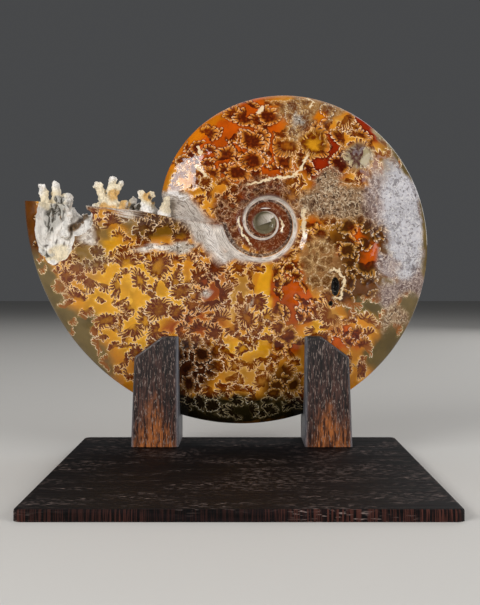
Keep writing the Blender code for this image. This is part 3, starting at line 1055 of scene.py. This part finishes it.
def nearest_pale_line(across, up):
    """How far beside the nearest pale line, crack and painted highlight alike, a point lies, its share of the
    line's length, and half its width.
    """
    pale_lines = np.tile(NO_PALE_LINE, (len(across), 1))
    for half, *spots in CRACKS_AND_GLINTS:
        beside, along, length = beside_line(across, up, spots)
        here = np.abs(beside) < np.minimum(LINE_REACH, np.abs(pale_lines[:, 0]))
        found = np.stack((beside, along / length, np.full(len(across), half * PIXEL)), axis=1)
        pale_lines = np.where(here[:, None], found, pale_lines)
    return pale_lines


def read(items, name, count, width):
    """One property of a mesh's items as rows of numbers."""
    values = np.empty(count * width)
    items.foreach_get(name, values)
    return values.reshape(count, width)


def store(mesh, name, values, domain="POINT"):
    """Keeps rows of one, three or four numbers on a mesh as an attribute."""
    values = np.asarray(values)
    width = 1 if values.ndim == 1 else values.shape[1]
    kind, key = {1: ("FLOAT", "value"), 3: ("FLOAT_VECTOR", "vector"), 4: ("FLOAT_COLOR", "color")}[width]
    mesh.attributes.new(name, kind, domain).data.foreach_set(key, values.ravel())


mesh = ammonite.data
corners = (read(mesh.vertices, "co", len(mesh.vertices), 3) - np.array(POLE)) / MM
across, up = corners[:, 0], corners[:, 2]
field, fibrous = banded(painted(across, up), across, up)
sweep, sweep_places = swept(*wavered(across, up))
sweep *= fibrous < 0.5
field = painted_over(field, kind_row("fleece"), sweep)
for name, first in (("plain", 0), ("bright", 3), ("dark", 6), ("line", 9)):
    store(mesh, name, np.column_stack((field[:, first : first + 3], np.ones(len(corners)))))
gap, _, turn = seam_gap(across, up)
coil = np.stack((turn * BAND_FIBRES[0], np.minimum(gap, 1.5) * BAND_FIBRES[1], np.zeros(len(gap))), axis=1)
store(mesh, "coil", np.where(sweep[:, None] > 0.02, sweep_places, coil))
store(mesh, "fibrous", np.maximum(fibrous, SWEEP_SHARE * sweep))
store(mesh, "dark_outside", field[:, DARK_OUTSIDE])
store(mesh, "fine", field[:, FINE_LINES])
store(mesh, "chalk", chalked(across, up))
store(mesh, "pale_lines", nearest_pale_line(across, up))

# Where florets overlap, each lies on a layer of its own. A layer holds, at each corner of a face, the place
# in the floret over its radius, with a number for chance. It also holds how many fingers the floret has,
# its radius in millimetres, and the angle that they reach round.
FLORET_SEED = 11
FLORET_LAYERS = 6
FLORET_TRIES = 9000
FLORET_SPACING = 0.48
FLORET_REACH = 1.5
FLORET_SIZES = (0.7, 1.2)
ALL_ROUND = 4.5
FLORET_SPREADS = (1.4, 2.0, ALL_ROUND)
FEWEST_FINGERS = 6
STRETCH = 0.15
FLANK_ACROSS, FLANK_UP = (-92, 64), (-72, 56)
BARE_UMBILICUS = 12.0
BARE_RIM = 0.965
FLANK_SLOPE = 0.15
FLORET_SLOPE = 0.1
NO_PLACE = (9.0, 9.0, 0.0)
NO_FACTS = (12.0, 4.0, ALL_ROUND)


def rim_at(across, up):
    """The radius of the outer rim, in millimetres, in the direction of each point."""
    back = (np.arctan2(up, across) - END_ANGLE) % TURN
    return END_RADIUS / MM * np.exp(-GROWTH * back)


def placed_florets(seed):
    """The florets seen, and others thrown between them, clear of the plain chambers and of most others."""
    kept = []
    for column, row, radius, facing, round_by in FLORETS_SEEN:
        spread = ALL_ROUND if round_by >= 180 else radians(round_by)
        kept.append((*placed(column, row), radius * PIXEL, radians(facing), spread))
    draw = np.random.default_rng(seed)
    across = draw.uniform(*FLANK_ACROSS, FLORET_TRIES)
    up = draw.uniform(*FLANK_UP, FLORET_TRIES)
    field = painted(across, up)
    size = field[:, FLORET] * draw.uniform(*FLORET_SIZES, FLORET_TRIES)
    facing = draw.uniform(0, TURN, FLORET_TRIES)
    spread = draw.choice(FLORET_SPREADS, FLORET_TRIES)
    radius = np.hypot(across, up)
    fits = (radius + 0.35 * size < BARE_RIM * rim_at(across, up)) & (radius > BARE_UMBILICUS)
    fits &= draw.uniform(0, 1, FLORET_TRIES) > field[:, FINE_LINES]
    for column, row, half_x, half_z, turn in PLAIN_CHAMBERS:
        room = 0.4 * size / PIXEL
        fits &= away(across, up, (column, row, half_x + room, half_z + room, turn)) > 1
    for index in np.flatnonzero(fits):
        x, z, reach = across[index], up[index], size[index]
        others = np.array(kept)
        gaps = np.hypot(others[:, 0] - x, others[:, 1] - z)
        if not np.any(gaps < FLORET_SPACING * (others[:, 2] + reach)):
            kept.append((x, z, reach, facing[index], spread[index]))
    return kept


face_count = len(mesh.polygons)
centres = (read(mesh.polygons, "center", face_count, 3) - np.array(POLE)) / MM
normals = read(mesh.polygons, "normal", face_count, 3)
starts = read(mesh.polygons, "loop_start", face_count, 1)[:, 0].astype(int)
totals = read(mesh.polygons, "loop_total", face_count, 1)[:, 0].astype(int)
loop_corners = np.empty(len(mesh.loops), dtype=np.int32)
mesh.loops.foreach_get("vertex_index", loop_corners)
polished_faces = read(mesh.polygons, "material_index", face_count, 1)[:, 0] == 0
petals = np.tile(NO_PLACE, (FLORET_LAYERS, len(mesh.loops), 1))
facts = np.tile(NO_FACTS, (FLORET_LAYERS, len(mesh.loops), 1))
taken = np.zeros(face_count, dtype=int)
draw = random.Random(FLORET_SEED)
for front in (-1, 1):
    flank = np.flatnonzero(polished_faces & (normals[:, 1] * front > FLANK_SLOPE))
    for x, z, reach, facing, spread in placed_florets(FLORET_SEED + front):
        nearest = flank[np.argmin((centres[flank, 0] - x) ** 2 + (centres[flank, 2] - z) ** 2)]
        middle = centres[nearest] + np.array((x - centres[nearest][0], 0.0, z - centres[nearest][2]))
        out = Vector(normals[nearest])
        ahead = Vector((cos(facing), 0.0, sin(facing)))
        ahead = (ahead - out * ahead.dot(out)).normalized()
        aside = out.cross(ahead) * front
        near = flank[((centres[flank] - middle) ** 2).sum(1) < (FLORET_REACH * reach) ** 2]
        near = near[(normals[near] @ np.array(out) > FLORET_SLOPE) & (taken[near] < FLORET_LAYERS)]
        each = totals[near]
        loops = np.repeat(starts[near] - np.cumsum(each) + each, each) + np.arange(each.sum())
        layer = np.repeat(taken[near], each)
        offset = corners[loop_corners[loops]] - middle
        stretch = 1 + draw.uniform(-STRETCH, STRETCH)
        petals[layer, loops, 0] = offset @ np.array(ahead) / reach / stretch
        petals[layer, loops, 1] = offset @ np.array(aside) / reach * stretch
        petals[layer, loops, 2] = draw.uniform(0, 100)
        pitch = painted(np.array([x]), np.array([z]))[0, FINGER]
        facts[layer, loops] = (max(FEWEST_FINGERS, round(TURN * reach / pitch)), reach, spread)
        taken[near] += 1
for layer in range(FLORET_LAYERS):
    store(mesh, f"petals_{layer}", petals[layer], "CORNER")
    store(mesh, f"facts_{layer}", facts[layer], "CORNER")

# The shader draws each layer's fingers from those numbers. The nearer edge wins, and a line that is drawn
# already stays in front.
LINE_WIDTH = 0.12
TIP_WIDTH = 0.21
# How a floret is bent: the scale of each noise, its detail, and how far it goes.
FLORET_BENDS = ((2.2, 1.0, 0.42), (0.8, 0.0, 0.8))
# A finger's longest tip and how much shorter it can be, the two depths of a cleft and how much they vary,
# half a finger's share of its pitch, and how roundly a finger leaves the palm, all over the radius.
LONGEST_TIP, TIP_VARIES = 1.1, 0.3
CLEFTS, CLEFT_VARIES = (0.34, 0.66), 0.14
FINGER_HALF = 0.31
PALM_ROUND = 0.16
# How softly a floret ends at its spread, and how far outside all else counts there, in millimetres.
SPREAD_EDGE = 0.3
ABSENT_BY = 4.0
TIP_WHITE = tint(255, 250, 236)
# The cream of the cracks, also used for the painted highlights.
CRACK_AND_GLINT_CREAM = tint(236, 212, 172)
RIPPLE_DEPTH = 0.4 * MM
PER_MILLIMETRE = (1 / MM, 1 / MM, 1 / MM)


def attribute(tree, name, output="Color"):
    """A mesh attribute's value."""
    node = tree.nodes.new("ShaderNodeAttribute")
    node.attribute_name = name
    return node.outputs[output]


def parts(tree, vector):
    """A vector's three numbers."""
    node = tree.nodes.new("ShaderNodeSeparateXYZ")
    feed(tree, node.inputs[0], vector)
    return node.outputs[0], node.outputs[1], node.outputs[2]


def vector_of(tree, *values):
    """A vector made of three numbers."""
    node = tree.nodes.new("ShaderNodeCombineXYZ")
    for socket, value in zip(node.inputs, values):
        feed(tree, socket, value)
    return node.outputs[0]


def chance(tree, *values):
    """A random number from 0 to 1 that is fixed by three numbers."""
    node = tree.nodes.new("ShaderNodeTexWhiteNoise")
    node.noise_dimensions = "3D"
    feed(tree, node.inputs["Vector"], vector_of(tree, *values))
    return node.outputs["Value"]


def either(tree, share, low, high):
    """One vector laid over another by a share."""
    node = tree.nodes.new("ShaderNodeMix")
    node.data_type = "VECTOR"
    feed(tree, node.inputs[0], share)
    feed(tree, node.inputs[4], low)
    feed(tree, node.inputs[5], high)
    return node.outputs[1]


def either_number(tree, share, low, high):
    """One number laid over another by a share."""
    node = tree.nodes.new("ShaderNodeMix")
    feed(tree, node.inputs[0], share)
    feed(tree, node.inputs[2], low)
    feed(tree, node.inputs[3], high)
    return node.outputs[0]


def length_of(tree, across, up):
    """The length of a line with those two sides."""
    squares = [maths(tree, "MULTIPLY", side, side) for side in (across, up)]
    return maths(tree, "SQRT", maths(tree, "ADD", *squares))


def floret(tree, layer):
    """How far outside its floret a point lies, in mm, and its way to a tip, share of the spread, and luck."""
    place = attribute(tree, f"petals_{layer}", "Vector")
    fingers, reach, spread = parts(tree, attribute(tree, f"facts_{layer}", "Vector"))
    _, _, seed = parts(tree, place)
    bent = place
    for scale, detail, far in FLORET_BENDS:
        _, bend = grain(tree, place, scale, detail)
        bend = vectors(tree, "SUBTRACT", bend, (0.5, 0.5, 0.5))
        bent = vectors(tree, "ADD", bent, vectors(tree, "MULTIPLY", bend, (far, far, 0.0)))
    x, y, _ = parts(tree, bent)
    angle = maths(tree, "ARCTAN2", y, x)
    radius = length_of(tree, x, y)
    phase = maths(tree, "MULTIPLY", maths(tree, "MULTIPLY_ADD", angle, 1 / TURN, 0.5), fingers)
    finger = maths(tree, "FLOOR", phase)
    cleft = maths(tree, "FLOORED_MODULO", maths(tree, "ROUND", phase), fingers)
    off_middle = maths(tree, "ABSOLUTE", maths(tree, "SUBTRACT", maths(tree, "FRACT", phase), 0.5))
    tip = maths(tree, "MULTIPLY_ADD", chance(tree, finger, seed, 0.0), -TIP_VARIES, LONGEST_TIP)
    palm = span(tree, chance(tree, cleft, seed, 7.0), 0.35, 0.5, *CLEFTS)
    palm = maths(tree, "MULTIPLY_ADD", chance(tree, cleft, seed, 3.0), CLEFT_VARIES, palm)
    turn_each = maths(tree, "DIVIDE", TURN, fingers)
    pitch = maths(tree, "MULTIPLY", radius, turn_each)
    half = maths(tree, "MULTIPLY", turn_each, maths(tree, "MULTIPLY", tip, FINGER_HALF))
    aside = maths(tree, "MULTIPLY", off_middle, pitch)
    beyond = maths(tree, "MAXIMUM", maths(tree, "SUBTRACT", radius, maths(tree, "SUBTRACT", tip, half)), 0.0)
    dome = maths(tree, "SUBTRACT", length_of(tree, aside, beyond), half)
    side = maths(tree, "SUBTRACT", aside, maths(tree, "MULTIPLY", pitch, FINGER_HALF))
    stem = maths(tree, "MAXIMUM", side, dome)
    outside = maths(tree, "SMOOTH_MIN", stem, maths(tree, "SUBTRACT", radius, palm), PALM_ROUND)
    left = maths(tree, "SUBTRACT", spread, maths(tree, "ABSOLUTE", angle))
    shown = maths(tree, "DIVIDE", left, SPREAD_EDGE, clamp=True)
    absent = maths(tree, "MULTIPLY", maths(tree, "SUBTRACT", 1.0, shown), ABSENT_BY)
    away_by = maths(tree, "ADD", maths(tree, "MULTIPLY", outside, reach), absent)
    return away_by, vector_of(tree, maths(tree, "DIVIDE", radius, tip), shown, chance(tree, seed, 0.0, 5.0))


tree = flank_tree
plain = attribute(tree, "plain")
bright = attribute(tree, "bright")
dark = attribute(tree, "dark")
line = attribute(tree, "line")
dark_outside = attribute(tree, "dark_outside", "Fac")
fine = attribute(tree, "fine", "Fac")
millimetres = stretched(tree, PER_MILLIMETRE)

closest, nearest = floret(tree, 0)
for layer in range(1, FLORET_LAYERS):
    away_by, facts_there = floret(tree, layer)
    bare = maths(tree, "GREATER_THAN", closest, LINE_WIDTH)
    seen = maths(tree, "MULTIPLY", bare, maths(tree, "LESS_THAN", away_by, closest))
    nearest = either(tree, seen, nearest, facts_there)
    closest = either_number(tree, seen, closest, away_by)
toward_tip, shown, luck = parts(tree, nearest)
width = span(tree, toward_tip, 0.7, 0.98, LINE_WIDTH / 2, TIP_WIDTH / 2)
stroke = span(tree, maths(tree, "DIVIDE", maths(tree, "ABSOLUTE", closest), width), 0.5, 1.5, 1.0, 0.0)
stroke = maths(tree, "MULTIPLY", stroke, shown)
at_tip = span(tree, toward_tip, 0.55, 0.95)
golden = span(tree, toward_tip, 0.5, 0.86)
outermost = span(tree, toward_tip, 0.84, 0.98)
inside = span(tree, closest, -0.06, 0.06, 1.0, 0.0)
cloud, _ = grain(tree, millimetres, 0.12, 4.0)
cloudy = span(tree, cloud, 0.35, 0.65, 0.82, 1.14)
plain = vectors(tree, "MULTIPLY", plain, vector_of(tree, cloudy, cloudy, cloudy))
mottle, _ = grain(tree, millimetres, 0.9, 2.0)
dark = blend(tree, span(tree, mottle, 0.45, 0.7, 0.0, 0.55), dark, blend(tree, 0.5, plain, dark))
fades_in = span(tree, toward_tip, 0.15, 0.5, span(tree, luck, 0.2, 0.6, 0.2, 0.85), 1.0)
fades_in = maths(tree, "MULTIPLY", fades_in, shown)
fades_out = maths(tree, "MULTIPLY", span(tree, toward_tip, 0.92, 1.3, 1.0, 0.0), shown)
within = blend(tree, dark_outside, blend(tree, fades_in, plain, dark), blend(tree, golden, dark, bright))
without = blend(tree, fades_out, plain, blend(tree, dark_outside, bright, dark))
colour = blend(tree, inside, without, within)
edge_line = blend(tree, at_tip, blend(tree, 0.3, dark, line), line)
edge_line = blend(tree, dark_outside, edge_line, blend(tree, outermost, dark, line))
whitened = maths(tree, "MULTIPLY", outermost, span(tree, luck, 0.3, 0.9, 0.0, 0.8))
edge_line = blend(tree, whitened, edge_line, blend(tree, 0.5, line, TIP_WHITE))
colour = blend(tree, stroke, colour, edge_line)

twist, _ = grain(tree, millimetres, 0.55, 2.0, distortion=0.8)
winding = span(tree, maths(tree, "ABSOLUTE", maths(tree, "SUBTRACT", twist, 0.5)), 0.01, 0.04, 1.0, 0.0)
fleck, _ = grain(tree, millimetres, 1.0, 3.0)
blot, _ = grain(tree, millimetres, 0.28, 4.0, roughness=0.7)
flecks = maths(tree, "MAXIMUM", span(tree, fleck, 0.52, 0.64), span(tree, blot, 0.5, 0.62, 0.0, 0.9))
fine_colour = blend(tree, flecks, plain, dark)
fine_colour = blend(tree, maths(tree, "MULTIPLY", winding, 0.8), fine_colour, line)
streaks, _ = grain(tree, attribute(tree, "coil", "Vector"), 1.0, 4.0)
fibres = blend(tree, span(tree, streaks, 0.46, 0.6, 0.0, 0.85), plain, dark)
fibres = blend(tree, span(tree, fleck, 0.6, 0.7, 0.0, 0.5), fibres, dark)
fine_colour = blend(tree, attribute(tree, "fibrous", "Fac"), fine_colour, fibres)
colour = blend(tree, fine, colour, fine_colour)
beside, along, half = parts(tree, attribute(tree, "pale_lines", "Vector"))
beside = maths(tree, "ADD", beside, span(tree, twist, 0.3, 0.7, -0.3, 0.3))
beside = maths(tree, "ADD", beside, span(tree, fleck, 0.3, 0.7, -0.35, 0.35))
over = maths(tree, "DIVIDE", maths(tree, "ABSOLUTE", beside), maths(tree, "MAXIMUM", half, 0.01))
crack_and_glint = span(tree, over, 0.7, 1.3, 1.0, 0.0)
from_middle = maths(tree, "ABSOLUTE", maths(tree, "SUBTRACT", along, 0.5))
crack_and_glint = maths(tree, "MULTIPLY", crack_and_glint, span(tree, from_middle, 0.42, 0.54, 0.9, 0.0))
# The pale lines laid on: cracks, and painted highlights on the coil's walls.
feed(tree, flank_shader.inputs["Base Color"], blend(tree, crack_and_glint, colour, CRACK_AND_GLINT_CREAM))
ripple, _ = grain(tree, millimetres, 0.16, 2.0)
ripples = maths(tree, "ADD", ripple, maths(tree, "MULTIPLY", maths(tree, "MULTIPLY", fleck, fine), 0.06))
relief(tree, flank_shader, ripples, RIPPLE_DEPTH)

# The rough calcite has fine folds like a fern's, with painted shade in their hollows, and a sugary grain.
FOLDS = (500.0, 500.0, 170.0)
FOLD_LEAN = (0.0, radians(-28), 0.0)
FOLD_SHADE = tint(70, 64, 52)
IRON_STAIN = tint(188, 146, 92)
SUGAR_WHITE = tint(250, 244, 236)
CHALK_DEPTH = 0.9 * MM

tree = chalk_tree
millimetres = stretched(tree, PER_MILLIMETRE)
rough = attribute(tree, "chalk")
fold_shade_share = attribute(tree, "chalk", "Alpha")
folds, _ = grain(tree, stretched(tree, FOLDS, FOLD_LEAN), 1.0, 3.0, distortion=1.2)
sugar, _ = grain(tree, millimetres, 2.4, 3.0)
blotch, _ = grain(tree, millimetres, 0.35, 3.0)
hollow = span(tree, folds, 0.42, 0.54, 1.0, 0.0)
# Painted shade in the folds' hollows.
rough = blend(tree, maths(tree, "MULTIPLY", hollow, fold_shade_share), rough, FOLD_SHADE)
rough = blend(tree, span(tree, blotch, 0.56, 0.76, 0.0, 0.4), rough, IRON_STAIN)
rough = blend(tree, span(tree, sugar, 0.6, 0.72, 0.0, 0.5), rough, SUGAR_WHITE)
feed(tree, chalk_shader.inputs["Base Color"], rough)
relief(tree, chalk_shader, maths(tree, "ADD", folds, maths(tree, "MULTIPLY", sugar, 0.35)), CHALK_DEPTH)
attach(ammonite, "root")
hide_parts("ammonite")

# Floor, lights and camera
# A plain pale floor, and four soft boxes that shine in the polish. The camera stands level, where the
# photograph was taken from, and only the shift of its lens brings the object into the picture.
FLOOR_HALF = 3.0
FLOOR_GREY = tint(208, 205, 200)
ROOM_LIGHT = (0.8, 0.82, 0.85, 1.0)
ROOM_STRENGTH = 0.08

bm = bmesh.new()
bmesh.ops.create_grid(bm, x_segments=1, y_segments=1, size=FLOOR_HALF)
floor_finish, tree, shader = new_material("pale_floor", 0.7)
feed(tree, shader.inputs["Base Color"], FLOOR_GREY)
floor = new_object("floor", bm, floor_finish)

world = bpy.data.worlds.new("studio")
world.use_nodes = True
world.node_tree.nodes["Background"].inputs["Color"].default_value = ROOM_LIGHT
world.node_tree.nodes["Background"].inputs["Strength"].default_value = ROOM_STRENGTH
bpy.context.scene.world = world
bpy.context.scene.view_settings.view_transform = "Standard"


def soft_box(name, side, height, distance, size, watts):
    """A flat area light, aimed at the shell from an angle to the side and an angle above it, in degrees."""
    side, height = radians(side), radians(height)
    toward = Vector((sin(side) * cos(height), -cos(side) * cos(height), sin(height)))
    lamp = bpy.data.lights.new(name, "AREA")
    lamp.shape = "RECTANGLE"
    lamp.size, lamp.size_y = size
    lamp.energy = watts
    made = bpy.data.objects.new(name, lamp)
    made.location = POLE + toward * distance
    made.rotation_euler = toward.to_track_quat("Z", "Y").to_euler()
    bpy.context.scene.collection.objects.link(made)


soft_box("left_box", -46, 20, 0.7, (0.42, 0.2), 3.4)
soft_box("right_box", 54, 12, 0.7, (0.6, 0.5), 3.8)
soft_box("back_box", 140, 20, 0.9, (0.6, 0.6), 1.6)
soft_box("top_box", 180, 65, 1.1, (1.2, 1.2), 4.0)

CAMERA_PLACE = Vector((0.8 * MM, POLE.y - 374.0 * MM, 63.3 * MM))
SENSOR_WIDTH = 36.0
# The photograph in pixels: its long side, its focal length and its middle column, then the column and the
# row of the point that the camera looks straight at.
LONG_SIDE = 605
FOCAL_PIXELS = 1000.0
PICTURE_MIDDLE = 240
MIDDLE_COLUMN = 242.0
HORIZON_ROW = 282.0

camera_data = bpy.data.cameras.new("camera")
camera_data.sensor_width = SENSOR_WIDTH
camera_data.lens = FOCAL_PIXELS / LONG_SIDE * SENSOR_WIDTH
camera_data.shift_x = (PICTURE_MIDDLE - MIDDLE_COLUMN) / LONG_SIDE
camera_data.shift_y = (HORIZON_ROW - LONG_SIDE / 2) / LONG_SIDE
camera_data.clip_start = 0.01
camera = bpy.data.objects.new("camera", camera_data)
camera.location = CAMERA_PLACE
camera.rotation_euler = (radians(90), 0.0, 0.0)
bpy.context.scene.collection.objects.link(camera)
bpy.context.scene.camera = camera
